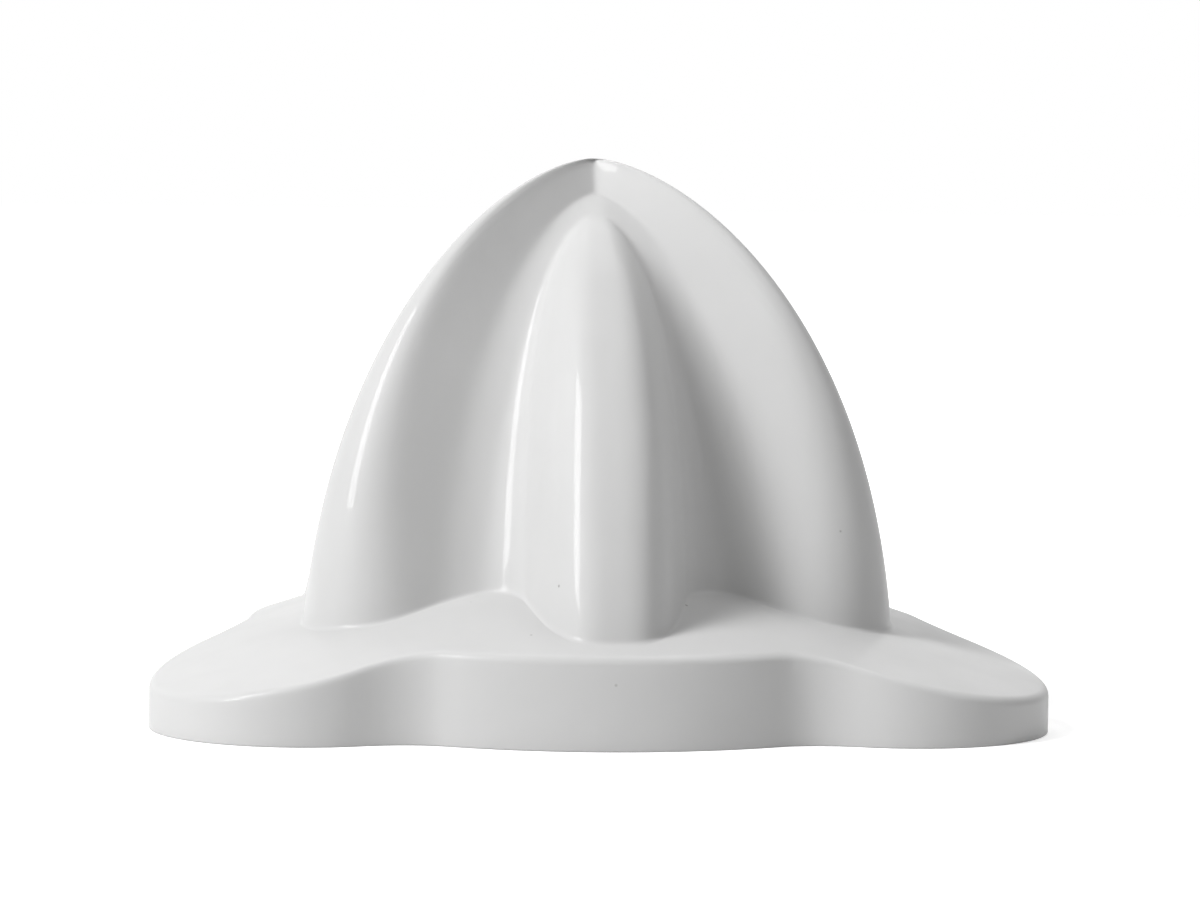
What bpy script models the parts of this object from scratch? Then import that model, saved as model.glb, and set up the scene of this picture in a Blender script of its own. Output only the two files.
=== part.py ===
"""Two-size reaming cone of an electric citrus juicer.

The large cone is a hollow moulding: a dome with three tall ridges, three shorter
fingers between them, and a sloping flange with three wings. It lifts straight off
the small cone inside it, which has the drive socket.
Metres, +Z up, origin on the cone's axis in the plane that both cones stand on.
"""

import math

import bmesh
import bpy
import numpy as np

# Dome of the large cone, measured on its outside.
APEX_HEIGHT = 0.0539
RIDGE_RADIUS = 0.0315
RIDGE_EDGE_FOOT = 0.0095
RIDGE_EDGE_TIP = 0.0003
GROOVE_RADIUS = 0.0160
CORE_HEIGHT = 0.0507
CORE_RADIUS = 0.0197
CORE_FILLET = 0.0052
FINGER_HEIGHT = 0.0494
FINGER_RADIUS = 0.0319
FINGER_HALF_WIDTH = 0.0068
FINGER_FILLET = 0.0035
FINGER_TAPER = math.radians(15.2)
CREASE_ROUNDING = 0.0003
FOOT_FILLET = 0.0009

# Flange of the large cone: its ledge before each finger and its wing beyond each ridge.
FINGER_LEDGE = 0.0016
WING_LENGTH = 0.0156
WING_END_RADIUS = 0.0143
WING_BLEND = 0.0043
FLANGE_EDGE_HEIGHT = 0.0086
FLANGE_SLOPE = math.radians(18.5)
RIM_ROUNDING = 0.0008

# Walls of the two mouldings.
WALL = 0.0020
TOP_WALL = 0.0030
SMALL_WALL = 0.0018
SMALL_TOP_WALL = 0.0028

# Small cone: how far it stays inside the large cone's hollow.
SEAT_CLEARANCE = 0.0003
APEX_GAP = 0.0070
RIDGE_GAP = 0.0035
EDGE_GAP = 0.0015
GROOVE_GAP = 0.0030
CORE_GAP = 0.0030
FINGER_GAP = 0.0050
FINGER_SIDE_GAP = 0.0011
COLLAR_GAP = 0.0025
COLLAR_LEDGE = 0.0034

# Drive hub of the small cone.
HUB_RADIUS = 0.0065
HUB_RECESS = 0.0030
SOCKET_ACROSS_FLATS = 0.0076
SOCKET_DEPTH = 0.0240
SOCKET_SIDES = 6
RIB_THICKNESS = 0.0016
RIB_RECESS = 0.0060

# Form of the curves: counts, ratios and exponents without a unit.
RIDGE_COUNT = 3
RIDGE_BULGE = 2.42
RIDGE_ROUNDNESS = 0.616
EDGE_TAPER = 1.25
GROOVE_TAPER = 0.85
CORE_BULGE = 1.67
CORE_ROUNDNESS = 0.61
FINGER_BULGE = 1.71
FINGER_ROUNDNESS = 0.64
FINGER_SHOULDER = 5.03
FINGER_NARROWING = 0.57
FINGER_SQUARENESS = 3.22
FINGER_NOSE = 1.16
CORE_FILLET_FADE = 0.62
FINGER_FILLET_FADE = 1.91

# Fineness of the faceted surfaces.
LARGE_COLUMNS = 18
SMALL_COLUMNS = 12
LARGE_DOME_ROWS = 24
LARGE_HOLLOW_ROWS = 12
SMALL_DOME_ROWS = 16
SMALL_HOLLOW_ROWS = 10
FLANGE_ROWS = 4
CORNER_STEPS = 3
HUB_FACETS = 24
BISECTIONS = 32

SECTOR = math.pi / RIDGE_COUNT
RIDGE_SIDE = math.sin(SECTOR)
RIDGE_AHEAD = math.cos(SECTOR)
TINY = 1e-7


class ReamerForm:
    """Sizes of one reaming dome and the flange at its foot."""

    def __init__(self, apex, ridge, edge_foot, groove, core_height, core, finger_height,
                 finger, finger_half_width, disc, flange_edge, wing_reach, wall, top_wall):
        self.apex = apex
        self.ridge = ridge
        self.edge_foot = edge_foot
        self.groove = groove
        self.core_height = core_height
        self.core = core
        self.finger_height = finger_height
        self.finger = finger
        self.finger_half_width = finger_half_width
        self.disc = disc
        self.flange_edge = flange_edge
        self.wing_reach = wing_reach
        self.wall = wall
        self.top_wall = top_wall

    def hollow_top(self):
        return self.apex - self.top_wall


def large_form():
    return ReamerForm(
        apex=APEX_HEIGHT, ridge=RIDGE_RADIUS, edge_foot=RIDGE_EDGE_FOOT,
        groove=GROOVE_RADIUS, core_height=CORE_HEIGHT, core=CORE_RADIUS,
        finger_height=FINGER_HEIGHT, finger=FINGER_RADIUS,
        finger_half_width=FINGER_HALF_WIDTH, disc=FINGER_RADIUS + FINGER_LEDGE,
        flange_edge=FLANGE_EDGE_HEIGHT, wing_reach=RIDGE_RADIUS + WING_LENGTH,
        wall=WALL, top_wall=TOP_WALL)


def small_form(large):
    """The small cone, each size held inside the large cone's hollow by a named gap."""
    apex = large.hollow_top() - APEX_GAP
    collar = large.disc - large.wall - COLLAR_GAP
    under_flange = flange_height(large, collar) - large.wall / math.cos(FLANGE_SLOPE)
    return ReamerForm(
        apex=apex,
        ridge=min(large.ridge - large.wall - RIDGE_GAP, collar - COLLAR_LEDGE),
        edge_foot=large.edge_foot - large.wall - EDGE_GAP,
        groove=large.groove - large.wall - GROOVE_GAP,
        core_height=apex - (large.apex - large.core_height),
        core=large.core - large.wall - CORE_GAP,
        finger_height=apex - (large.apex - large.finger_height),
        finger=large.finger - large.wall - FINGER_GAP,
        finger_half_width=large.finger_half_width - large.wall - FINGER_SIDE_GAP,
        disc=collar, flange_edge=under_flange - SEAT_CLEARANCE, wing_reach=None,
        wall=SMALL_WALL, top_wall=SMALL_TOP_WALL)


def bulged_profile(foot, height, top, bulge, roundness):
    """A size that keeps its foot value at first and closes rounded at its top."""
    share = np.clip(height / top, 0.0, 1.0)
    return foot * (1.0 - share**bulge)**roundness


def fade(height, top):
    """From 1 at the foot to 0 at the top, slowly at first."""
    return np.clip(1.0 - (height / top)**2, 0.0, 1.0)


def blend(first, second, radius):
    """Distance to two joined outlines whose inner corner is filled by a round fillet."""
    hollow = np.hypot(np.maximum(radius - first, 0.0), np.maximum(radius - second, 0.0))
    return np.maximum(radius, np.minimum(first, second)) - hollow


def ridge_distance(form, side, ahead, height):
    """Distance to the three ridges: flat flanks from the groove to a rounded edge."""
    crest = bulged_profile(form.ridge, height, form.apex, RIDGE_BULGE, RIDGE_ROUNDNESS)
    rise = np.clip(1.0 - height / form.apex, 0.0, 1.0)
    edge = np.minimum(form.edge_foot * rise**EDGE_TAPER + RIDGE_EDGE_TIP, 0.8 * crest + TINY)
    groove = form.groove * rise**GROOVE_TAPER
    soft_side = np.hypot(side, CREASE_ROUNDING) - CREASE_ROUNDING
    centre_side = (crest - edge) * RIDGE_SIDE
    centre_ahead = (crest - edge) * RIDGE_AHEAD
    span = np.hypot(centre_ahead - groove, centre_side) + TINY
    lean = np.arccos(np.clip(-edge / span, -1.0, 1.0))
    lean = lean - np.arctan2(centre_side, centre_ahead - groove)
    flank = np.cos(lean) * (ahead - groove) - np.sin(lean) * soft_side
    edge_round = np.hypot(soft_side - centre_side, ahead - centre_ahead) - edge
    past_flank = (soft_side - centre_side) * np.cos(lean) + (ahead - centre_ahead) * np.sin(lean)
    return np.where(past_flank > 0.0, edge_round, flank)


def finger_distance(form, side, ahead, height):
    """Distance to one finger: a tapered bar with a soft, nearly square nose."""
    tip = bulged_profile(form.finger, height, form.finger_height, FINGER_BULGE, FINGER_ROUNDNESS)
    half = bulged_profile(form.finger_half_width, height, form.finger_height, FINGER_SHOULDER,
                          FINGER_NARROWING) + TINY
    nose_depth = half * FINGER_NOSE
    taper = math.tan(FINGER_TAPER)
    width = np.maximum(half * (1.0 - taper) + (tip - ahead) * taper, 0.3 * half)
    across = np.abs(side) / width
    into_nose = np.maximum(ahead - (tip - nose_depth), 0.0) / nose_depth
    nose = (across**FINGER_SQUARENESS + into_nose**FINGER_SQUARENESS)**(1.0 / FINGER_SQUARENESS)
    return (nose - 1.0) * half


def dome_distance(form, side, ahead, height, inset):
    """Distance, in one level slice, to the dome: ridges, round core and fingers.

    With an inset it is the distance to the parallel line that far inside.
    """
    slice_line = ridge_distance(form, side, ahead, height) + inset
    core = bulged_profile(form.core, height, form.core_height, CORE_BULGE, CORE_ROUNDNESS)
    fillet = CORE_FILLET * fade(height, form.core_height)**CORE_FILLET_FADE + CREASE_ROUNDING
    with_core = blend(slice_line, np.hypot(side, ahead) - core + inset, fillet + inset)
    slice_line = np.where(height < form.core_height, with_core, slice_line)
    finger = finger_distance(form, side, ahead, height) + inset
    fillet = FINGER_FILLET * fade(height, form.finger_height)**FINGER_FILLET_FADE + CREASE_ROUNDING
    with_finger = blend(slice_line, finger, fillet + inset)
    return np.where(height < form.finger_height, with_finger, slice_line)


def plan_distance(form, side, ahead):
    """Distance to the flange's outline: a disc and, on the large cone, three wings."""
    disc = np.hypot(side, ahead) - form.disc
    if form.wing_reach is None:
        return disc
    centre = form.wing_reach - WING_END_RADIUS
    wing = np.hypot(side - centre * RIDGE_SIDE, ahead - centre * RIDGE_AHEAD) - WING_END_RADIUS
    return blend(disc, wing, WING_BLEND)


def fold(azimuth):
    """Azimuth from the nearest finger: every sector is a mirror image of the next."""
    return np.abs((azimuth + SECTOR) % (2.0 * SECTOR) - SECTOR)


def radius_on(distance, azimuth, reach):
    """Radius at which a line from the axis leaves an outline, found by halving."""
    angle = fold(azimuth)
    inner = np.zeros(angle.shape)
    outer = np.full(angle.shape, reach)
    for _ in range(BISECTIONS):
        middle = 0.5 * (inner + outer)
        outside = distance(middle * np.sin(angle), middle * np.cos(angle)) > 0.0
        outer = np.where(outside, middle, outer)
        inner = np.where(outside, inner, middle)
    return 0.5 * (inner + outer)


def dome_radius(form, azimuth, height, inside):
    """Radius of the dome, or of its hollow, which is a wall thickness inside it."""
    reach = 1.3 * max(form.ridge, form.finger)
    share = np.clip(height / form.hollow_top(), 0.0, 1.0) if inside else 0.0 * height
    lifted = height + form.top_wall * share**2
    inset = form.wall * (1.0 - share**3) if inside else 0.0

    def distance(side, ahead):
        return dome_distance(form, side, ahead, lifted, inset)

    return radius_on(distance, azimuth, reach)


def plan_radius(form, azimuth, inside):
    reach = 1.3 * max(form.disc, form.wing_reach or 0.0)
    inset = form.wall if inside else 0.0
    return radius_on(lambda side, ahead: plan_distance(form, side, ahead) + inset, azimuth, reach)


def flange_height(form, radius):
    """Height of the flange's sloping top at a radius."""
    return form.flange_edge + (form.disc - radius) * math.tan(FLANGE_SLOPE)


def columns(count):
    """Azimuths of the surface's columns, closer together on finger flanks and ridges."""
    angle = np.linspace(0.0, SECTOR, 241)
    flank = np.exp(-((angle - math.radians(15.0)) / math.radians(6.0))**2)
    ridge = np.exp(-((angle - SECTOR) / math.radians(9.0))**2)
    density = 1.0 + 1.6 * flank + 0.9 * ridge
    total = np.concatenate(([0.0], np.cumsum(0.5 * (density[1:] + density[:-1]))))
    half = np.interp(np.linspace(0.0, total[-1], count + 1), total, angle)
    sector = np.concatenate((half, 2.0 * SECTOR - half[-2:0:-1]))
    return np.concatenate([sector + 2.0 * SECTOR * turn for turn in range(RIDGE_COUNT)])


def foot_height(form, azimuth, inside):
    """Height at which the dome's wall meets the slope of the flange."""
    drop = form.wall / math.cos(FLANGE_SLOPE) if inside else 0.0
    low = np.zeros(azimuth.shape)
    high = np.full(azimuth.shape, 0.5 * form.apex)
    for _ in range(BISECTIONS):
        middle = 0.5 * (low + high)
        radius = dome_radius(form, azimuth, middle, inside)
        buried = flange_height(form, radius) - drop > middle
        low = np.where(buried, middle, low)
        high = np.where(buried, high, middle)
    return 0.5 * (low + high)


def rounded_corner(before, corner, after):
    """Points of a soft corner after its first: from before to after, drawn to the corner."""
    points = []
    for step in range(1, CORNER_STEPS + 1):
        share = step / CORNER_STEPS
        points.append((1 - share)**2 * before + 2 * share * (1 - share) * corner + share**2 * after)
    return points


def profile(form, azimuth, inside, dome_rows):
    """Radius and height of each row of one surface, from below its top to the rim's foot."""
    top = form.hollow_top() if inside else form.apex
    drop = form.wall / math.cos(FLANGE_SLOPE) if inside else 0.0
    fillet = 0.0 if inside else FOOT_FILLET
    rounding = 0.0 if inside else RIM_ROUNDING
    foot = foot_height(form, azimuth, inside) + fillet
    rows = []
    for step in range(1, dome_rows + 1):
        share = (step / dome_rows)**1.77
        height = top - (top - foot) * share
        rows.append(np.stack((dome_radius(form, azimuth, height, inside), height)))

    def on_flange(radius):
        return np.stack((radius, flange_height(form, radius) - drop))

    rim = plan_radius(form, azimuth, inside)
    start = rows[-1]
    slope = np.array([[math.cos(FLANGE_SLOPE)], [-math.sin(FLANGE_SLOPE)]])
    if not inside:
        corner = on_flange(dome_radius(form, azimuth, foot - fillet, inside))
        rows += rounded_corner(rows[-1], corner, corner + slope * fillet)
        start = rows[-1]
    edge = on_flange(rim)
    for step in range(1, FLANGE_ROWS + 1):
        radius = start[0] + (edge[0] - rounding - start[0]) * step / FLANGE_ROWS
        rows.append(on_flange(radius))
    if not inside:
        below = edge - np.array([[0.0], [rounding]])
        rows += rounded_corner(rows[-1], edge, below)
    rows.append(np.stack((rim, np.zeros(rim.shape))))
    return rows


def add_ring(mesh, azimuth, row):
    return [mesh.verts.new((r * math.sin(a), -r * math.cos(a), z))
            for a, r, z in zip(azimuth, row[0], row[1])]


def join_rings(mesh, upper, lower):
    count = len(upper)
    for i in range(count):
        j = (i + 1) % count
        mesh.faces.new((upper[i], lower[i], lower[j], upper[j]))


def close_top(mesh, height, ring):
    apex = mesh.verts.new((0.0, 0.0, height))
    count = len(ring)
    for i in range(count):
        mesh.faces.new((apex, ring[i], ring[(i + 1) % count]))


def skin(mesh, azimuth, top, rows):
    """A surface of revolution-like rows, closed at its top; returns its last ring."""
    rings = [add_ring(mesh, azimuth, row) for row in rows]
    close_top(mesh, top, rings[0])
    for upper, lower in zip(rings, rings[1:]):
        join_rings(mesh, upper, lower)
    return rings[-1]


def plastic(name, colour, roughness):
    material = bpy.data.materials.new(name)
    material.use_nodes = True
    shader = material.node_tree.nodes["Principled BSDF"]
    shader.inputs["Base Color"].default_value = (*colour, 1.0)
    shader.inputs["Roughness"].default_value = roughness
    shader.inputs["Metallic"].default_value = 0.0
    return material


def make_object(name, mesh, material):
    """Turn a bmesh into an object with outward faces, smooth but for its sharp edges."""
    bmesh.ops.recalc_face_normals(mesh, faces=mesh.faces)
    data = bpy.data.meshes.new(name)
    mesh.to_mesh(data)
    mesh.free()
    data.shade_smooth()
    data.set_sharp_from_angle(angle=math.radians(35.0))
    item = bpy.data.objects.new(name, data)
    bpy.context.scene.collection.objects.link(item)
    if material is not None:
        data.materials.append(material)
    return item


def as_cutter(item):
    item.hide_render = True
    item.display_type = "WIRE"
    return item


def cut(item, cutter):
    step = item.modifiers.new("cut " + cutter.name, "BOOLEAN")
    step.operation = "DIFFERENCE"
    step.solver = "EXACT"
    step.object = cutter


def make_large_cone(form):
    """Outer skin, rim's foot and hollow in one closed moulding."""
    azimuth = columns(LARGE_COLUMNS)
    mesh = bmesh.new()
    outer = skin(mesh, azimuth, form.apex, profile(form, azimuth, False, LARGE_DOME_ROWS))
    inner = skin(mesh, azimuth, form.hollow_top(), profile(form, azimuth, True, LARGE_HOLLOW_ROWS))
    join_rings(mesh, outer, inner)
    return make_object("large_cone", mesh, plastic("cone plastic", (0.78, 0.78, 0.78), 0.22))


def make_prism(name, sides, radius, bottom, top):
    """An upright prism on the axis, used as a cutter or a guide."""
    mesh = bmesh.new()
    bmesh.ops.create_cone(mesh, cap_ends=True, segments=sides, radius1=radius, radius2=radius,
                          depth=top - bottom)
    bmesh.ops.translate(mesh, verts=mesh.verts, vec=(0.0, 0.0, 0.5 * (bottom + top)))
    return as_cutter(make_object(name, mesh, None))


def make_rib(name, azimuth, bottom, top, start, end):
    """A thin upright wall along one ridge, from inside the hub to the collar."""
    mesh = bmesh.new()
    bmesh.ops.create_cube(mesh, size=1.0)
    bmesh.ops.scale(mesh, verts=mesh.verts, vec=(RIB_THICKNESS, end - start, top - bottom))
    middle = (0.0, -0.5 * (start + end), 0.5 * (bottom + top))
    bmesh.ops.translate(mesh, verts=mesh.verts, vec=middle)
    rib = as_cutter(make_object(name, mesh, None))
    rib.rotation_euler = (0.0, 0.0, azimuth)
    return rib


def make_small_cone(form):
    """A solid cone, hollowed from below around its drive hub and three ribs."""
    azimuth = columns(SMALL_COLUMNS)
    mesh = bmesh.new()
    foot = skin(mesh, azimuth, form.apex, profile(form, azimuth, False, SMALL_DOME_ROWS))
    mesh.faces.new(foot)
    cone = make_object("small_cone", mesh, plastic("hub plastic", (0.74, 0.74, 0.74), 0.3))

    mesh = bmesh.new()
    rows = profile(form, azimuth, True, SMALL_HOLLOW_ROWS)
    below = np.stack((rows[-1][0], np.full(azimuth.shape, -form.wall)))
    foot = skin(mesh, azimuth, form.hollow_top(), rows + [below])
    mesh.faces.new(foot)
    hollow = as_cutter(make_object("hollow_cutter", mesh, None))

    cut(hollow, make_prism("hub_guide", HUB_FACETS, HUB_RADIUS, HUB_RECESS, form.apex))
    rib_top = form.apex - 0.5 * form.top_wall
    for turn in range(RIDGE_COUNT):
        angle = SECTOR + 2.0 * SECTOR * turn
        cut(hollow, make_rib(f"rib_guide_{turn + 1}", angle, RIB_RECESS, rib_top,
                             0.5 * HUB_RADIUS, form.disc))
    cut(cone, hollow)

    corner_radius = 0.5 * SOCKET_ACROSS_FLATS / math.cos(math.pi / SOCKET_SIDES)
    top = HUB_RECESS + SOCKET_DEPTH
    cut(cone, make_prism("socket_cutter", SOCKET_SIDES, corner_radius, -form.wall, top))
    return cone


def main():
    for item in list(bpy.data.objects):
        bpy.data.objects.remove(item, do_unlink=True)
    large = large_form()
    make_small_cone(small_form(large))
    make_large_cone(large)


main()
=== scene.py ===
"""Studio scene of the reaming cone of an electric citrus juicer.

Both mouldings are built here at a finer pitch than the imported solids, from the same
curves, and stand for them. The crease at the dome's foot is tighter here, and the
rim's lower edges, the hollow's corners and the hub's end are softened. Metres, +Z up,
the same frame as the solids.
"""

import math

import bpy
import numpy as np
from mathutils import Matrix, Vector


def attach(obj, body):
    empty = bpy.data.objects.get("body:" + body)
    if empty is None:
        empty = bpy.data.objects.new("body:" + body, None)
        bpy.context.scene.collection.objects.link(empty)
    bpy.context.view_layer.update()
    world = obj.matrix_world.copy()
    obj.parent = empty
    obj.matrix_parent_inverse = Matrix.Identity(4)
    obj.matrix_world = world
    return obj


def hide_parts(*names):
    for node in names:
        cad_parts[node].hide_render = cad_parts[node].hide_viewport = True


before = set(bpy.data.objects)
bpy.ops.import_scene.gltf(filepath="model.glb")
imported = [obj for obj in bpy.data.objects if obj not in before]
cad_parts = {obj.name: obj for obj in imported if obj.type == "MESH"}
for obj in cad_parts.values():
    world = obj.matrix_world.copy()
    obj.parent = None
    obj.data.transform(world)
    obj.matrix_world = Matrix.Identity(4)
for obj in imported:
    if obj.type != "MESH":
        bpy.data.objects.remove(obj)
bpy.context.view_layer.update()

# Large cone, outside.
APEX_HEIGHT = 0.0539
RIDGE_RADIUS = 0.0315
RIDGE_EDGE_FOOT = 0.0095
RIDGE_EDGE_TIP = 0.0003
GROOVE_RADIUS = 0.0160
CORE_HEIGHT = 0.0507
CORE_RADIUS = 0.0197
CORE_FILLET = 0.0052
FINGER_HEIGHT = 0.0494
FINGER_RADIUS = 0.0319
FINGER_HALF_WIDTH = 0.0068
FINGER_FILLET = 0.0035
FINGER_TAPER = math.radians(15.2)
CREASE_ROUNDING = 0.0003
FOOT_FILLET = 0.0005

# Flange.
FINGER_LEDGE = 0.0016
WING_LENGTH = 0.0156
WING_END_RADIUS = 0.0143
WING_BLEND = 0.0043
FLANGE_EDGE_HEIGHT = 0.0086
FLANGE_SLOPE = math.radians(18.5)
RIM_ROUNDING = 0.0008
LOWER_EDGE = 0.0002

# Walls, the hollow's own roundings, and how far the small cone stays inside the hollow.
WALL = 0.0020
TOP_WALL = 0.0030
INNER_ROUNDING = 0.0004
SMALL_WALL = 0.0018
SMALL_TOP_WALL = 0.0028
SEAT_CLEARANCE = 0.0003
APEX_GAP = 0.0070
RIDGE_GAP = 0.0035
EDGE_GAP = 0.0015
GROOVE_GAP = 0.0030
CORE_GAP = 0.0030
FINGER_GAP = 0.0050
FINGER_SIDE_GAP = 0.0011
COLLAR_GAP = 0.0025
COLLAR_LEDGE = 0.0034

# Drive hub of the small cone.
HUB_RADIUS = 0.0065
HUB_RECESS = 0.0030
SOCKET_ACROSS_FLATS = 0.0076
SOCKET_DEPTH = 0.0240
RIB_THICKNESS = 0.0016
RIB_RECESS = 0.0060
HUB_EDGE = 0.0004
HUB_EDGE_MIDDLE = 0.3
SOCKET_CENTRE = 0.02
RIB_START = 0.85 * HUB_RADIUS

# The hub and ribs end this far under the hollow's top. At their sides they reach into
# the wall by this share of its thickness.
BURIED_TOP = 0.0008
INTO_WALL = 0.4

# Exponents of the curves, and the finger's nose as a share of its half width.
RIDGE_BULGE = 2.42
RIDGE_ROUNDNESS = 0.616
EDGE_TAPER = 1.25
GROOVE_TAPER = 0.85
CORE_BULGE = 1.67
CORE_ROUNDNESS = 0.61
FINGER_BULGE = 1.71
FINGER_ROUNDNESS = 0.64
FINGER_SHOULDER = 5.03
FINGER_NARROWING = 0.57
FINGER_SQUARENESS = 3.22
FINGER_NOSE = 1.16
CORE_FILLET_FADE = 0.62
FINGER_FILLET_FADE = 1.91

# The most that a ridge's edge is of its crest, and the least that a finger's width is
# of its half width.
MOST_EDGE = 0.8
LEAST_FINGER_WIDTH = 0.3

# Search by halving: its reach against the largest radius, and its steps.
SEARCH_REACH = 1.3
HALVINGS = 34
FOOT_HALVINGS = 30

RIDGE_COUNT = 3
SECTOR = math.pi / RIDGE_COUNT
RIDGE_SIDE = math.sin(SECTOR)
RIDGE_AHEAD = math.cos(SECTOR)
TINY = 1e-7

# Meshes: columns in half a sector, rows of the outer dome and rows of the hollow's dome.
LARGE_MESH = (60, 110, 60)
SMALL_MESH = (40, 70, 50)
HUB_SIDES = 72
HUB_ROWS = 40
RIB_ROWS = 40
HUB_SHARP_FROM = math.radians(40.0)
RIB_SHARP_FROM = math.radians(30.0)

# Rows of the foot's crease, the flange, its edge, the rim and the rim's lower edge.
FOOT_ROWS = 5
FLANGE_ROWS = 24
EDGE_ROWS = 6
RIM_ROWS = 6
LOWER_ROWS = 3

# Where the columns stand closer together: middle angle, width and extra density.
CLOSER_COLUMNS = (
    (math.radians(14.0), math.radians(7.0), 1.6),
    (SECTOR, math.radians(9.0), 1.2),
    (0.0, math.radians(3.0), 0.8))
DENSITY_SAMPLES = 481

# Studio: the floor's paper, its own glow beside the object and where it reaches white.
PAPER = 0.8
FLOOR_HALF = 3.0
FLOOR_GLOW = 0.45
FLOOR_NEAR = 0.06
FLOOR_FAR = 0.30

# Sweep: how far back a direction points where it begins and where it is full white.
SWEEP_START = 0.35
SWEEP_FULL = 0.75

# Lamps: name, azimuth from the front to the viewer's left and elevation, both in
# degrees, size and power.
LAMP_DISTANCE = 1.0
LAMP_TARGET = (0.0, 0.0, 0.025)
LAMPS = (
    ("key_left", 62.7, 35.4, (0.25, 0.66), 13.2),
    ("top", 180.0, 68.0, (0.6, 0.6), 2.8),
    ("back", 175.0, 30.0, (1.8, 1.0), 1.6),
    ("right", -74.8, 54.1, (0.86, 0.96), 4.9))

# Camera: its direction from the target, picture widths per metre at the target, and
# the point of the 1200 x 900 picture where the target stands.
CAMERA_AZIMUTH = math.radians(4.75)
CAMERA_RISE = math.radians(3.61)
CAMERA_ROLL = math.radians(0.74)
CAMERA_TARGET = (0.0, 0.0, 0.028)
CAMERA_DISTANCE = 0.444
CAMERA_SCALE = 8.494
CAMERA_CLIP = 0.01
PICTURE = (1200.0, 900.0)
TARGET_AT = (590.3, 422.7)
SENSOR_WIDTH = 36.0

# Plastics: colour, roughness of the body, share of gloss, and share of specked cells.
CONE_PLASTIC = ((0.505, 0.505, 0.504), 0.50, 0.14, 0.06)
HUB_PLASTIC = ((0.485, 0.485, 0.484), 0.54, 0.12, 0.04)

# Their surface. A noise is its scale per metre and its detail, and its middle values
# are spread over the whole range. A bump is its strength and its depth.
PLASTIC_IOR = 1.5
BODY_SPECULAR = 0.20
GLOSS_ROUGHNESS = 0.05
NOISE_MIDDLE = (0.3, 0.7)
CLOUD_NOISE = (55.0, 3.0)
CLOUD_SHADES = (0.965, 1.02)
SPECK_SCALE = 400.0
SPECK_SIZE = (0.05, 0.08)
SPECK_FADE = 0.6
SPECK_STRENGTH = 0.6
SPECK_COLOUR = (0.16, 0.15, 0.14, 1.0)
UNEVEN_NOISE = (140.0, 4.0)
UNEVEN_ROUGHNESS = (0.85, 1.2)
RIPPLE_NOISE = (420.0, 3.0)
RIPPLE_BUMP = (0.05, 0.0002)
STREAK_NOISE = (800.0, 2.0)
STREAK_STRETCH = 0.05
STREAK_BUMP = (0.2, 0.00006)

# A colour Mix node's sockets for its two colours and its result.
MIX_FIRST = 6
MIX_SECOND = 7
MIX_RESULT = 2


class Form:
    """Sizes of one reaming dome and the flange at its foot."""

    def __init__(self, **sizes):
        self.__dict__.update(sizes)
        self.hollow_top = self.apex - self.top_wall


def large_form():
    return Form(
        apex=APEX_HEIGHT, ridge=RIDGE_RADIUS, edge_foot=RIDGE_EDGE_FOOT, groove=GROOVE_RADIUS,
        core_height=CORE_HEIGHT, core=CORE_RADIUS, finger_height=FINGER_HEIGHT,
        finger=FINGER_RADIUS, finger_half_width=FINGER_HALF_WIDTH,
        disc=FINGER_RADIUS + FINGER_LEDGE, flange_edge=FLANGE_EDGE_HEIGHT,
        wing_reach=RIDGE_RADIUS + WING_LENGTH, wall=WALL, top_wall=TOP_WALL)


def small_form(large):
    apex = large.hollow_top - APEX_GAP
    collar = large.disc - large.wall - COLLAR_GAP
    under_flange = flange_height(large, collar) - large.wall / math.cos(FLANGE_SLOPE)
    return Form(
        apex=apex, ridge=min(large.ridge - large.wall - RIDGE_GAP, collar - COLLAR_LEDGE),
        edge_foot=large.edge_foot - large.wall - EDGE_GAP,
        groove=large.groove - large.wall - GROOVE_GAP,
        core_height=apex - (large.apex - large.core_height),
        core=large.core - large.wall - CORE_GAP,
        finger_height=apex - (large.apex - large.finger_height),
        finger=large.finger - large.wall - FINGER_GAP,
        finger_half_width=large.finger_half_width - large.wall - FINGER_SIDE_GAP,
        disc=collar, flange_edge=under_flange - SEAT_CLEARANCE, wing_reach=None,
        wall=SMALL_WALL, top_wall=SMALL_TOP_WALL)


def bulged_profile(foot, height, top, bulge, roundness):
    share = np.clip(height / top, 0.0, 1.0)
    return foot * (1.0 - share**bulge)**roundness


def fade(height, top):
    return np.clip(1.0 - (height / top)**2, 0.0, 1.0)


def blend(first, second, radius):
    hollow = np.hypot(np.maximum(radius - first, 0.0), np.maximum(radius - second, 0.0))
    return np.maximum(radius, np.minimum(first, second)) - hollow


def ridge_distance(form, side, ahead, height):
    crest = bulged_profile(form.ridge, height, form.apex, RIDGE_BULGE, RIDGE_ROUNDNESS)
    rise = np.clip(1.0 - height / form.apex, 0.0, 1.0)
    edge = np.minimum(form.edge_foot * rise**EDGE_TAPER + RIDGE_EDGE_TIP, MOST_EDGE * crest + TINY)
    groove = form.groove * rise**GROOVE_TAPER
    soft_side = np.hypot(side, CREASE_ROUNDING) - CREASE_ROUNDING
    centre_side = (crest - edge) * RIDGE_SIDE
    centre_ahead = (crest - edge) * RIDGE_AHEAD
    span = np.hypot(centre_ahead - groove, centre_side) + TINY
    lean = np.arccos(np.clip(-edge / span, -1.0, 1.0))
    lean = lean - np.arctan2(centre_side, centre_ahead - groove)
    flank = np.cos(lean) * (ahead - groove) - np.sin(lean) * soft_side
    edge_round = np.hypot(soft_side - centre_side, ahead - centre_ahead) - edge
    past_flank = (soft_side - centre_side) * np.cos(lean) + (ahead - centre_ahead) * np.sin(lean)
    return np.where(past_flank > 0.0, edge_round, flank)


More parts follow.
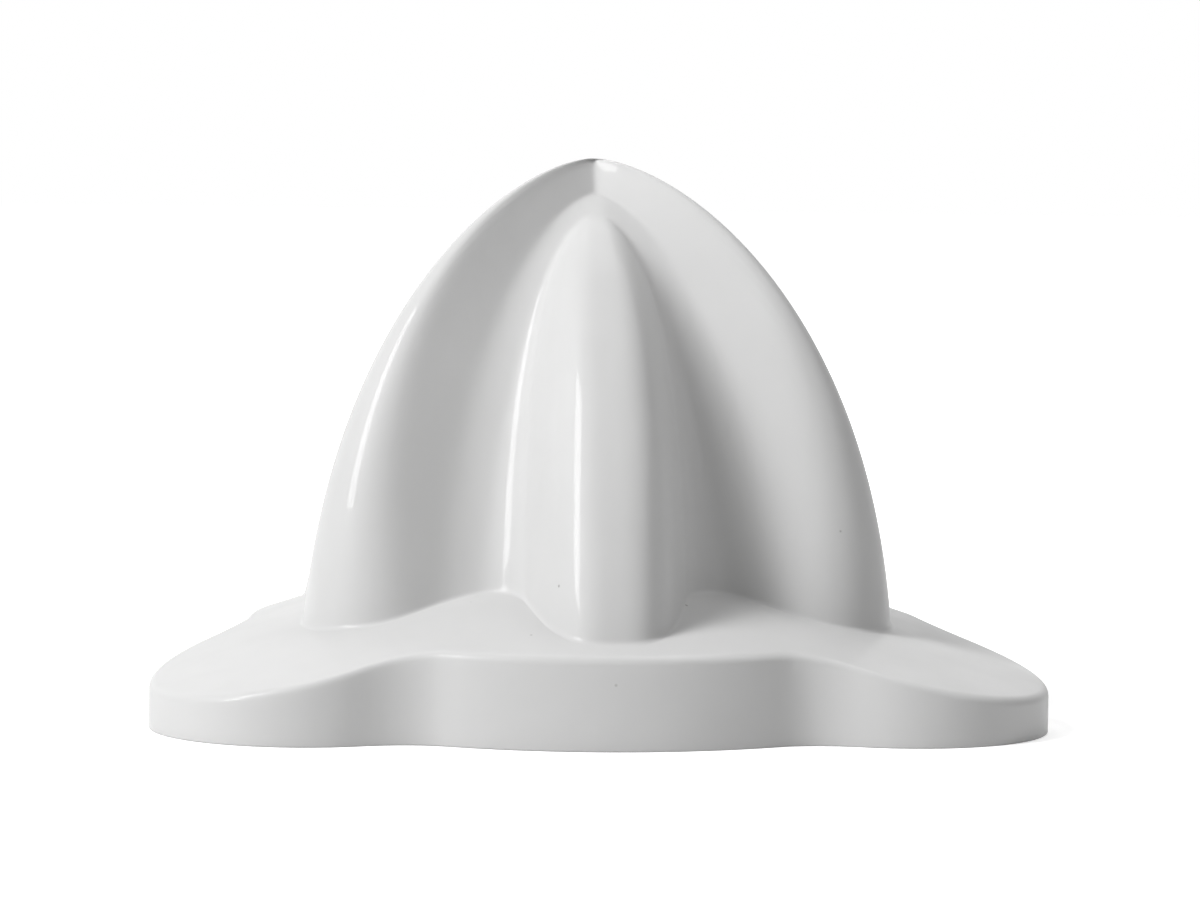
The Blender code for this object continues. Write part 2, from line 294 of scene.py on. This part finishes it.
def finger_distance(form, side, ahead, height):
    tip = bulged_profile(form.finger, height, form.finger_height, FINGER_BULGE, FINGER_ROUNDNESS)
    half = bulged_profile(form.finger_half_width, height, form.finger_height, FINGER_SHOULDER,
                          FINGER_NARROWING) + TINY
    nose_depth = half * FINGER_NOSE
    taper = math.tan(FINGER_TAPER)
    width = np.maximum(half * (1.0 - taper) + (tip - ahead) * taper,
                       LEAST_FINGER_WIDTH * half)
    across = np.abs(side) / width
    into_nose = np.maximum(ahead - (tip - nose_depth), 0.0) / nose_depth
    nose = (across**FINGER_SQUARENESS + into_nose**FINGER_SQUARENESS)**(1.0 / FINGER_SQUARENESS)
    return (nose - 1.0) * half


def dome_distance(form, side, ahead, height, inset):
    slice_line = ridge_distance(form, side, ahead, height) + inset
    core = bulged_profile(form.core, height, form.core_height, CORE_BULGE, CORE_ROUNDNESS)
    fillet = CORE_FILLET * fade(height, form.core_height)**CORE_FILLET_FADE + CREASE_ROUNDING
    with_core = blend(slice_line, np.hypot(side, ahead) - core + inset, fillet + inset)
    slice_line = np.where(height < form.core_height, with_core, slice_line)
    finger = finger_distance(form, side, ahead, height) + inset
    fillet = FINGER_FILLET * fade(height, form.finger_height)**FINGER_FILLET_FADE + CREASE_ROUNDING
    with_finger = blend(slice_line, finger, fillet + inset)
    return np.where(height < form.finger_height, with_finger, slice_line)


def plan_distance(form, side, ahead):
    disc = np.hypot(side, ahead) - form.disc
    if form.wing_reach is None:
        return disc
    centre = form.wing_reach - WING_END_RADIUS
    wing = np.hypot(side - centre * RIDGE_SIDE, ahead - centre * RIDGE_AHEAD) - WING_END_RADIUS
    return blend(disc, wing, WING_BLEND)


def radius_on(distance, angle, reach):
    """Radius at which a line from the axis leaves an outline, found by halving."""
    inner = np.zeros(angle.shape)
    outer = np.full(angle.shape, reach)
    for _ in range(HALVINGS):
        middle = 0.5 * (inner + outer)
        outside = distance(middle * np.sin(angle), middle * np.cos(angle)) > 0.0
        outer = np.where(outside, middle, outer)
        inner = np.where(outside, inner, middle)
    return 0.5 * (inner + outer)


def dome_radius(form, angle, height, inside):
    share = np.clip(height / form.hollow_top, 0.0, 1.0) if inside else 0.0 * height
    lifted = height + form.top_wall * share**2
    inset = form.wall * (1.0 - share**3) if inside else 0.0
    reach = SEARCH_REACH * max(form.ridge, form.finger)
    return radius_on(lambda side, ahead: dome_distance(form, side, ahead, lifted, inset),
                     angle, reach)


def plan_radius(form, angle, inside):
    inset = form.wall if inside else 0.0
    reach = SEARCH_REACH * max(form.disc, form.wing_reach or 0.0)
    return radius_on(lambda side, ahead: plan_distance(form, side, ahead) + inset, angle, reach)


def flange_height(form, radius):
    return form.flange_edge + (form.disc - radius) * math.tan(FLANGE_SLOPE)


def foot_height(form, angle, inside):
    drop = form.wall / math.cos(FLANGE_SLOPE) if inside else 0.0
    low = np.zeros(angle.shape)
    high = np.full(angle.shape, 0.5 * form.apex)
    for _ in range(FOOT_HALVINGS):
        middle = 0.5 * (low + high)
        buried = flange_height(form, dome_radius(form, angle, middle, inside)) - drop > middle
        low = np.where(buried, middle, low)
        high = np.where(buried, high, middle)
    return 0.5 * (low + high)


def half_sector(count):
    """Angles from a finger's middle to a ridge's, closer together on the tight curves."""
    angle = np.linspace(0.0, SECTOR, DENSITY_SAMPLES)
    density = 1.0
    for middle, width, extra in CLOSER_COLUMNS:
        density = density + extra * np.exp(-((angle - middle) / width)**2)
    total = np.concatenate(([0.0], np.cumsum(0.5 * (density[1:] + density[:-1]))))
    return np.interp(np.linspace(0.0, total[-1], count + 1), total, angle)


def rounded_corner(before, corner, after, rows):
    """Points of a soft corner, without its first one."""
    points = []
    for step in range(1, rows + 2):
        share = step / (rows + 1)
        points.append(
            (1 - share)**2 * before + 2 * share * (1 - share) * corner + share**2 * after)
    return points


def surface_rows(form, angle, inside, dome_rows):
    """Rows of one surface, each an array of radii and heights, from the top down."""
    top = form.hollow_top if inside else form.apex
    drop = form.wall / math.cos(FLANGE_SLOPE) if inside else 0.0
    fillet = INNER_ROUNDING if inside else FOOT_FILLET
    rounding = INNER_ROUNDING if inside else RIM_ROUNDING
    foot = foot_height(form, angle, inside) + fillet
    rows = []
    for step in range(1, dome_rows + 1):
        height = top - (top - foot) * (step / dome_rows)**2
        rows.append(np.stack((dome_radius(form, angle, height, inside), height)))

    def on_flange(radius):
        return np.stack((radius, flange_height(form, radius) - drop))

    rim = plan_radius(form, angle, inside)
    slope = np.array([[math.cos(FLANGE_SLOPE)], [-math.sin(FLANGE_SLOPE)]])
    corner = on_flange(dome_radius(form, angle, foot - fillet, inside))
    rows += rounded_corner(rows[-1], corner, corner + slope * fillet, FOOT_ROWS)
    start = rows[-1][0]
    edge = on_flange(rim)
    for step in range(1, FLANGE_ROWS + 1):
        rows.append(on_flange(start + (rim - rounding - start) * step / FLANGE_ROWS))
    below = edge - np.array([[0.0], [rounding]])
    rows += rounded_corner(rows[-1], edge, below, EDGE_ROWS)
    for step in range(1, RIM_ROWS + 1):
        height = below[1] + (LOWER_EDGE - below[1]) * step / RIM_ROWS
        rows.append(np.stack((rim, height)))
    ground = np.zeros(rim.shape)
    turned_in = -LOWER_EDGE if inside else LOWER_EDGE
    end = np.stack((rim - turned_in, ground))
    rows += rounded_corner(rows[-1], np.stack((rim, ground)), end, LOWER_ROWS)
    return rows


def whole_turn(angle):
    """The azimuths of a whole turn, and for each one its column in the half sector."""
    count = len(angle) - 1
    azimuths, picks = [], []
    for turn in range(RIDGE_COUNT):
        base = 2.0 * SECTOR * turn
        azimuths += [base + a for a in angle] + [base + 2.0 * SECTOR - a for a in angle[-2:0:-1]]
        picks += list(range(count + 1)) + list(range(count - 1, 0, -1))
    return np.array(azimuths), np.array(picks)


def new_object(name, points, faces, material):
    data = bpy.data.meshes.new(name)
    data.from_pydata([tuple(p) for p in points], [], [tuple(f) for f in faces])
    data.validate()
    data.materials.append(material)
    data.shade_smooth()
    item = bpy.data.objects.new(name, data)
    bpy.context.scene.collection.objects.link(item)
    return item


def moulding(name, form, columns, outer_rows, inner_rows, material):
    """Outer surface, foot and hollow of one moulding as one closed mesh."""
    angle = half_sector(columns)
    azimuth, pick = whole_turn(angle)
    width = len(azimuth)
    sine, cosine = np.sin(azimuth), np.cos(azimuth)
    outer = surface_rows(form, angle, False, outer_rows)
    inner = surface_rows(form, angle, True, inner_rows)
    points = [np.array([[0.0, 0.0, form.apex]])]
    for row in outer + inner[::-1]:
        radius, height = row[0][pick], row[1][pick]
        points.append(np.stack((radius * sine, -radius * cosine, height), axis=1))
    points.append(np.array([[0.0, 0.0, form.hollow_top]]))
    points = np.concatenate(points)
    count = len(outer) + len(inner)
    faces = []
    for row in range(count - 1):
        for i in range(width):
            j = (i + 1) % width
            upper, lower = 1 + row * width, 1 + (row + 1) * width
            faces.append((upper + i, lower + i, lower + j, upper + j))
    last = 1 + (count - 1) * width
    for i in range(width):
        j = (i + 1) % width
        faces.append((0, 1 + i, 1 + j))
        faces.append((len(points) - 1, last + j, last + i))
    return new_object(name, points, faces, material)


def principled(name, colour, roughness):
    """A new material and its Principled node."""
    material = bpy.data.materials.new(name)
    material.use_nodes = True
    shader = material.node_tree.nodes["Principled BSDF"]
    shader.inputs["Base Color"].default_value = (*colour, 1.0)
    shader.inputs["Roughness"].default_value = roughness
    shader.inputs["IOR"].default_value = PLASTIC_IOR
    shader.inputs["Specular IOR Level"].default_value = BODY_SPECULAR
    return material, shader


def add_node(tree, kind, **settings):
    node = tree.nodes.new(kind)
    for name, value in settings.items():
        setattr(node, name, value)
    return node


def noise(tree, place, scale, detail):
    node = add_node(tree, "ShaderNodeTexNoise")
    node.inputs["Scale"].default_value = scale
    node.inputs["Detail"].default_value = detail
    tree.links.new(place, node.inputs["Vector"])
    return node.outputs["Fac"]


def remap(tree, value, low, high, to_low, to_high):
    node = add_node(tree, "ShaderNodeMapRange")
    node.inputs["From Min"].default_value = low
    node.inputs["From Max"].default_value = high
    node.inputs["To Min"].default_value = to_low
    node.inputs["To Max"].default_value = to_high
    tree.links.new(value, node.inputs["Value"])
    return node.outputs["Result"]


def arithmetic(tree, operation, first, second):
    node = add_node(tree, "ShaderNodeMath", operation=operation)
    tree.links.new(first, node.inputs[0])
    tree.links.new(second, node.inputs[1])
    return node.outputs[0]


def bump(tree, height, strength, depth):
    node = add_node(tree, "ShaderNodeBump")
    node.inputs["Strength"].default_value = strength
    node.inputs["Distance"].default_value = depth
    tree.links.new(height, node.inputs["Height"])
    return node


def moulded_plastic(name, shade, roughness, gloss, specks):
    """Moulded plastic: clouded, with dust specks, uneven gloss, ripple and upright lines."""
    material, shader = principled(name, shade, roughness)
    shader.inputs["Coat Weight"].default_value = gloss
    shader.inputs["Coat Roughness"].default_value = GLOSS_ROUGHNESS
    shader.inputs["Coat IOR"].default_value = PLASTIC_IOR
    tree = material.node_tree
    place = add_node(tree, "ShaderNodeTexCoord").outputs["Object"]
    cloud = remap(tree, noise(tree, place, *CLOUD_NOISE), *NOISE_MIDDLE, 0.0, 1.0)
    clouded = add_node(tree, "ShaderNodeMix", data_type="RGBA")
    for socket, change in zip((MIX_FIRST, MIX_SECOND), CLOUD_SHADES):
        clouded.inputs[socket].default_value = (*[c * change for c in shade], 1.0)
    tree.links.new(cloud, clouded.inputs[0])

    cells = add_node(tree, "ShaderNodeTexVoronoi")
    cells.inputs["Scale"].default_value = SPECK_SCALE
    tree.links.new(place, cells.inputs["Vector"])
    dot = remap(tree, cells.outputs["Distance"], *SPECK_SIZE, 1.0, 0.0)
    split = add_node(tree, "ShaderNodeSeparateColor")
    tree.links.new(cells.outputs["Color"], split.inputs["Color"])
    rare = remap(tree, split.outputs[0], 1.0 - specks, 1.0 - SPECK_FADE * specks,
                 0.0, SPECK_STRENGTH)
    dusty = add_node(tree, "ShaderNodeMix", data_type="RGBA")
    dusty.inputs[MIX_SECOND].default_value = SPECK_COLOUR
    tree.links.new(arithmetic(tree, "MULTIPLY", dot, rare), dusty.inputs[0])
    tree.links.new(clouded.outputs[MIX_RESULT], dusty.inputs[MIX_FIRST])
    tree.links.new(dusty.outputs[MIX_RESULT], shader.inputs["Base Color"])

    rough = [roughness * change for change in UNEVEN_ROUGHNESS]
    uneven = remap(tree, noise(tree, place, *UNEVEN_NOISE), *NOISE_MIDDLE, *rough)
    tree.links.new(uneven, shader.inputs["Roughness"])

    ripple = bump(tree, noise(tree, place, *RIPPLE_NOISE), *RIPPLE_BUMP)
    upright = add_node(tree, "ShaderNodeVectorMath", operation="MULTIPLY")
    upright.inputs[1].default_value = (1.0, 1.0, STREAK_STRETCH)
    tree.links.new(place, upright.inputs[0])
    streaks = bump(tree, noise(tree, upright.outputs[0], *STREAK_NOISE), *STREAK_BUMP)
    tree.links.new(ripple.outputs["Normal"], streaks.inputs["Normal"])
    for socket in ("Normal", "Coat Normal"):
        tree.links.new(streaks.outputs["Normal"], shader.inputs[socket])
    return material


def hub(form, material):
    """The drive hub: a round post with a hexagonal socket, its upper end inside the shell."""
    angle = 2.0 * math.pi * np.arange(HUB_SIDES) / HUB_SIDES
    from_finger = np.abs((angle + 0.5 * math.pi + SECTOR) % (2.0 * SECTOR) - SECTOR)
    flat = 0.5 * SOCKET_ACROSS_FLATS
    corner = flat / math.cos(math.pi / 6.0)
    hexagon = flat / np.cos((angle + math.pi / 6.0) % (math.pi / 3.0) - math.pi / 6.0)
    end = HUB_RECESS + SOCKET_DEPTH

    def post(height):
        shell = dome_radius(form, from_finger, np.full(HUB_SIDES, height), True)
        return np.minimum(HUB_RADIUS, shell + INTO_WALL * form.wall)

    top = form.hollow_top - BURIED_TOP
    middle = HUB_EDGE_MIDDLE * HUB_EDGE
    rings = [(post(z), z) for z in np.linspace(top, HUB_RECESS + HUB_EDGE, HUB_ROWS)]
    rings += [
        (HUB_RADIUS - middle, HUB_RECESS + middle), (HUB_RADIUS - HUB_EDGE, HUB_RECESS),
        (corner + HUB_EDGE, HUB_RECESS), (hexagon, HUB_RECESS + HUB_EDGE), (hexagon, end),
        (SOCKET_CENTRE * hexagon, end)]
    points = [np.stack((r * np.cos(angle), r * np.sin(angle), np.full(HUB_SIDES, z)), axis=1)
              for r, z in rings]
    faces = []
    for row in range(len(rings) - 1):
        for i in range(HUB_SIDES):
            j = (i + 1) % HUB_SIDES
            upper, lower = row * HUB_SIDES, (row + 1) * HUB_SIDES
            faces.append((upper + i, lower + i, lower + j, upper + j))
    last = (len(rings) - 1) * HUB_SIDES
    faces.append(tuple(range(HUB_SIDES)))
    faces.append(tuple(range(last + HUB_SIDES - 1, last - 1, -1)))
    item = new_object("small_cone_hub", np.concatenate(points), faces, material)
    item.data.set_sharp_from_angle(angle=HUB_SHARP_FROM)
    return item


def rib(form, azimuth, number, material):
    """A thin wall from the hub to the shell, its upper edge inside the shell."""
    heights = np.linspace(RIB_RECESS, form.hollow_top - BURIED_TOP, RIB_ROWS)
    angle = np.full(heights.shape, SECTOR)
    reach = dome_radius(form, angle, heights, True)
    foot = foot_height(form, angle[:1], True)[0]
    collar = form.disc - form.wall
    outline = [(RIB_START, RIB_RECESS)]
    for height, radius in zip(heights, reach):
        if height < foot:
            above = form.flange_edge - form.wall - height
            radius = min(collar, form.disc + above / math.tan(FLANGE_SLOPE))
        if radius + INTO_WALL * form.wall > RIB_START:
            outline.append((radius + INTO_WALL * form.wall, height))
    outline.append((RIB_START, outline[-1][1]))
    sine, cosine = math.sin(azimuth), math.cos(azimuth)
    points = []
    for side in (-0.5 * RIB_THICKNESS, 0.5 * RIB_THICKNESS):
        for radius, height in outline:
            points.append((radius * sine + side * cosine, -radius * cosine + side * sine, height))
    count = len(outline)
    faces = [tuple(range(count)), tuple(range(2 * count - 1, count - 1, -1))]
    for i in range(count):
        j = (i + 1) % count
        faces.append((i, count + i, count + j, j))
    item = new_object(f"small_cone_rib_{number}", points, faces, material)
    item.data.set_sharp_from_angle(angle=RIB_SHARP_FROM)
    return item


def around(target, azimuth, rise, distance):
    """A point about the target; azimuth counts from the front to the viewer's left."""
    return Vector(target) + distance * Vector((
        -math.sin(azimuth) * math.cos(rise), -math.cos(azimuth) * math.cos(rise),
        math.sin(rise)))


def softbox(name, azimuth, elevation, size, power):
    """An area lamp that faces its target."""
    lamp = bpy.data.lights.new(name, "AREA")
    lamp.shape = "RECTANGLE"
    lamp.size, lamp.size_y = size
    lamp.energy = power
    item = bpy.data.objects.new(name, lamp)
    bpy.context.scene.collection.objects.link(item)
    place = around(LAMP_TARGET, math.radians(azimuth), math.radians(elevation), LAMP_DISTANCE)
    item.location = place
    item.rotation_euler = (Vector(LAMP_TARGET) - place).to_track_quat("-Z", "Y").to_euler()


def seen_white(tree, where=None):
    """1 for camera rays, and for mirror-like and transmitted rays where the sweep stands."""
    path = add_node(tree, "ShaderNodeLightPath")
    mirrored = arithmetic(tree, "MAXIMUM", path.outputs["Is Glossy Ray"],
                          path.outputs["Is Transmission Ray"])
    if where is not None:
        mirrored = arithmetic(tree, "MULTIPLY", mirrored, where)
    return arithmetic(tree, "MAXIMUM", path.outputs["Is Camera Ray"], mirrored)


def choose(tree, choice, first, second, output):
    """Send the first shader to the output where choice is 0 and the second where it is 1."""
    mix = add_node(tree, "ShaderNodeMixShader")
    tree.links.new(choice, mix.inputs[0])
    tree.links.new(first, mix.inputs[1])
    tree.links.new(second, mix.inputs[2])
    tree.links.new(mix.outputs[0], output.inputs["Surface"])


def build_floor():
    """White paper: it keeps the shadow under the object and is plain white further out."""
    material = bpy.data.materials.new("studio_floor")
    material.use_nodes = True
    tree = material.node_tree
    tree.nodes.clear()
    output = add_node(tree, "ShaderNodeOutputMaterial")
    paper = add_node(tree, "ShaderNodeBsdfDiffuse")
    paper.inputs["Color"].default_value = (PAPER, PAPER, PAPER, 1.0)
    place = add_node(tree, "ShaderNodeNewGeometry").outputs["Position"]
    away = add_node(tree, "ShaderNodeVectorMath", operation="LENGTH")
    tree.links.new(place, away.inputs[0])
    glow = add_node(tree, "ShaderNodeEmission")
    tree.links.new(remap(tree, away.outputs["Value"], FLOOR_NEAR, FLOOR_FAR, FLOOR_GLOW, 1.0),
                   glow.inputs["Strength"])
    seen = add_node(tree, "ShaderNodeAddShader")
    tree.links.new(paper.outputs[0], seen.inputs[0])
    tree.links.new(glow.outputs[0], seen.inputs[1])
    choose(tree, seen_white(tree), paper.outputs[0], seen.outputs[0], output)
    half = FLOOR_HALF
    points = [(-half, -half, 0.0), (half, -half, 0.0), (half, half, 0.0), (-half, half, 0.0)]
    new_object("studio_floor", points, [(0, 1, 2, 3)], material)


def white_light(tree, strength):
    """A world's white background at one strength."""
    node = add_node(tree, "ShaderNodeBackground")
    node.inputs["Color"].default_value = (1.0, 1.0, 1.0, 1.0)
    node.inputs["Strength"].default_value = strength
    return node.outputs[0]


def build_world():
    """A dark room with a white sweep behind the object, and white all round for the camera."""
    world = bpy.data.worlds.new("studio")
    bpy.context.scene.world = world
    world.use_nodes = True
    tree = world.node_tree
    tree.nodes.clear()
    output = add_node(tree, "ShaderNodeOutputWorld")
    direction = add_node(tree, "ShaderNodeSeparateXYZ")
    tree.links.new(add_node(tree, "ShaderNodeTexCoord").outputs["Generated"], direction.inputs[0])
    behind = remap(tree, direction.outputs["Y"], SWEEP_START, SWEEP_FULL, 0.0, 1.0)
    choose(tree, seen_white(tree, behind), white_light(tree, 0.0), white_light(tree, 1.0), output)


def build_camera():
    """The photograph's view: nearly level, a little from the left, with a slight roll."""
    back = around((0.0, 0.0, 0.0), CAMERA_AZIMUTH, CAMERA_RISE, 1.0)
    right = Vector((math.cos(CAMERA_AZIMUTH), -math.sin(CAMERA_AZIMUTH), 0.0))
    up = back.cross(right)
    turned_right = math.cos(CAMERA_ROLL) * right + math.sin(CAMERA_ROLL) * up
    turned_up = math.cos(CAMERA_ROLL) * up - math.sin(CAMERA_ROLL) * right
    camera = bpy.data.objects.new("camera", bpy.data.cameras.new("camera"))
    bpy.context.scene.collection.objects.link(camera)
    place = around(CAMERA_TARGET, CAMERA_AZIMUTH, CAMERA_RISE, CAMERA_DISTANCE)
    camera.matrix_world = Matrix((
        (turned_right.x, turned_up.x, back.x, place.x),
        (turned_right.y, turned_up.y, back.y, place.y),
        (turned_right.z, turned_up.z, back.z, place.z),
        (0.0, 0.0, 0.0, 1.0)))
    camera.data.sensor_fit = "HORIZONTAL"
    camera.data.sensor_width = SENSOR_WIDTH
    camera.data.lens = SENSOR_WIDTH * CAMERA_SCALE * CAMERA_DISTANCE
    camera.data.shift_x = (0.5 * PICTURE[0] - TARGET_AT[0]) / PICTURE[0]
    camera.data.shift_y = (TARGET_AT[1] - 0.5 * PICTURE[1]) / PICTURE[0]
    camera.data.clip_start = CAMERA_CLIP
    bpy.context.scene.camera = camera


def main():
    large = large_form()
    small = small_form(large)
    pale = moulded_plastic("pale_cone_plastic", *CONE_PLASTIC)
    dull = moulded_plastic("pale_hub_plastic", *HUB_PLASTIC)

    cone = moulding("cone_moulding", large, *LARGE_MESH, pale)
    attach(cone, "large_cone_body")
    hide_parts("large_cone")

    core = moulding("small_cone_moulding", small, *SMALL_MESH, dull)
    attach(core, "small_cone_body")
    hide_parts("small_cone")
    post = hub(small, dull)
    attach(post, "small_cone_body")
    for turn in range(RIDGE_COUNT):
        wall = rib(small, SECTOR + 2.0 * SECTOR * turn, turn + 1, dull)
        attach(wall, "small_cone_body")

    build_floor()
    build_world()
    for lamp in LAMPS:
        softbox(*lamp)
    build_camera()
    bpy.context.scene.view_settings.view_transform = "Standard"


main()
